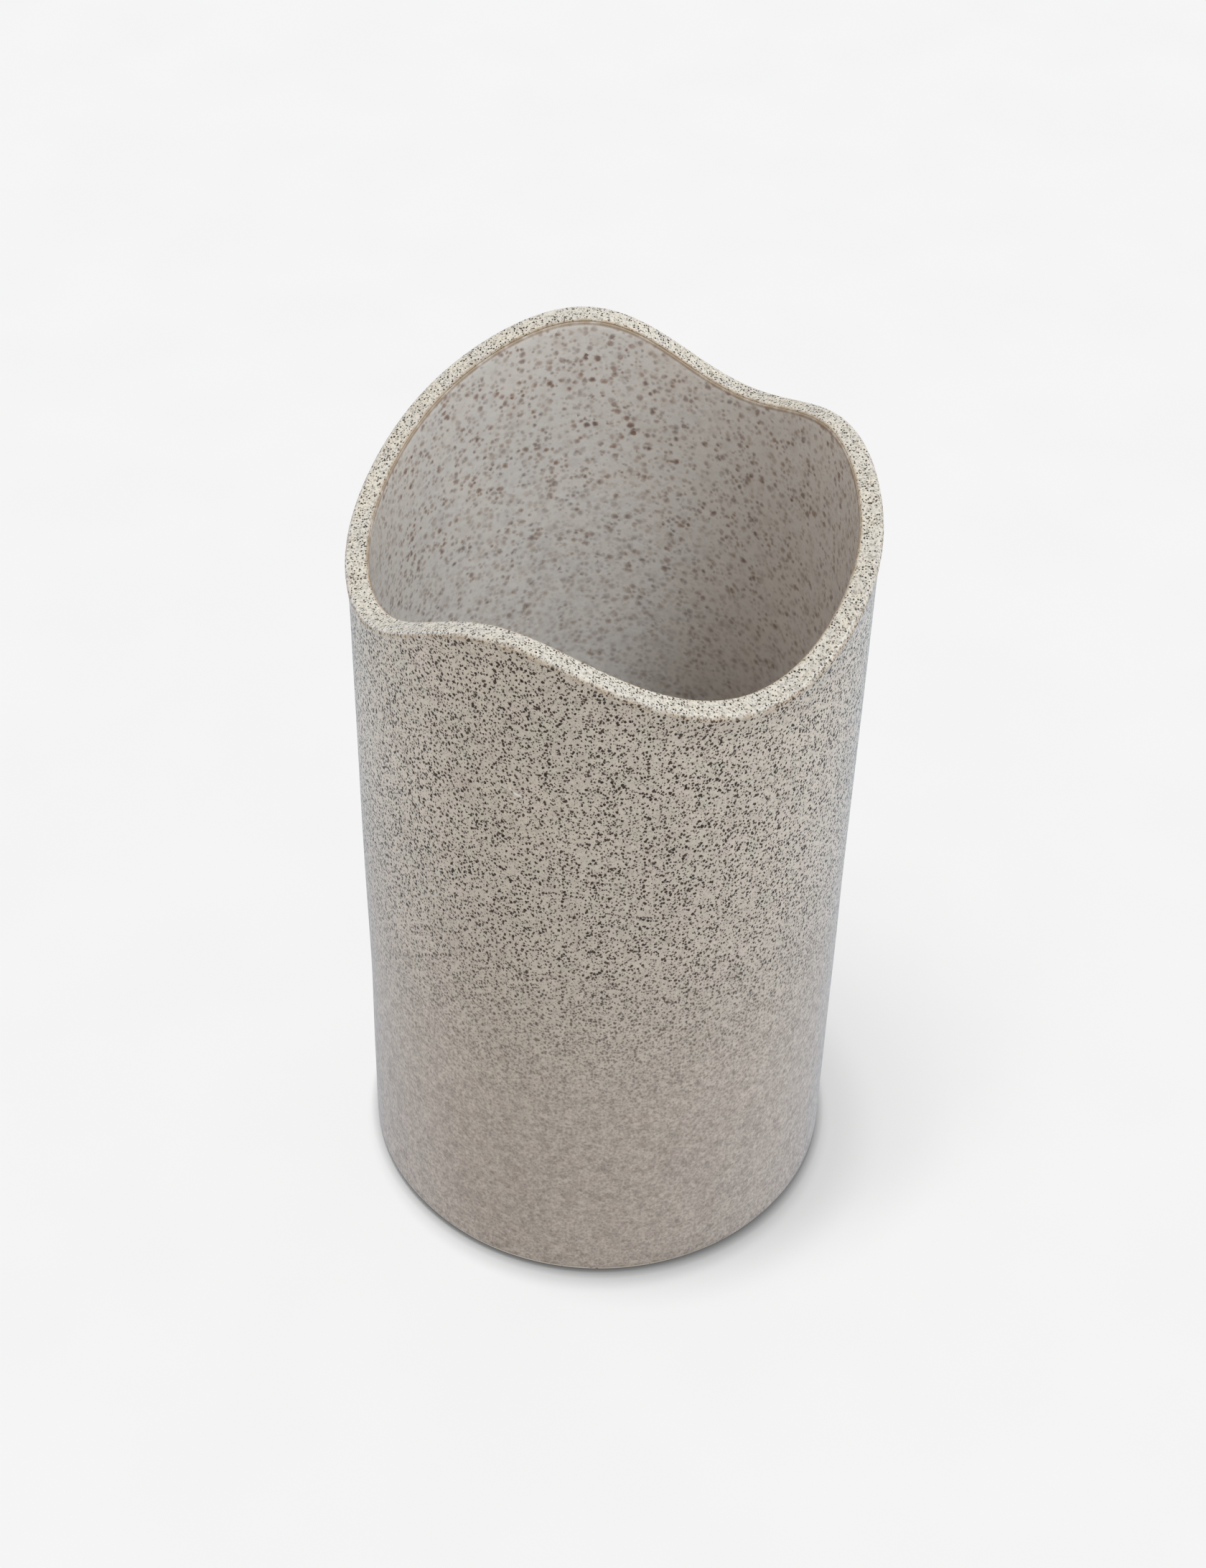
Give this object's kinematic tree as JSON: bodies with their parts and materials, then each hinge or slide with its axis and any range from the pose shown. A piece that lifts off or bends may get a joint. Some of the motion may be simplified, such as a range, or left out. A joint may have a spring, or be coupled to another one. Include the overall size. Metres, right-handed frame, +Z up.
{
  "type": "cylinder vase",
  "caption": "Straight hand-built stoneware cylinder vase with a wavy cut mouth, speckled satin glaze outside and over the lip, a grey liner glaze inside and a bare clay foot.",
  "frame": {"origin": "middle of the foot ring, on the table", "axes": "+Z up along the vase's axis; -Y towards the side whose lip is lowest on the right"},
  "size_m": [0.127, 0.127, 0.2278],
  "materials": {
    "bare_clay": "fired bare stoneware, matt, fine dark speckle; shows only on the foot",
    "liner_glaze": "thin grey liner glaze over soft brown speckle",
    "satin_glaze": "satin grey-beige glaze with dense dark iron speckle, creamier where it thins over the lip"
  },
  "bodies": {
    "root": {"base_slab": "bare_clay", "wall": "bare_clay", "corner_coil": "bare_clay", "inner_glaze": "liner_glaze", "outer_glaze": "satin_glaze"}
  },
  "joints": []
}
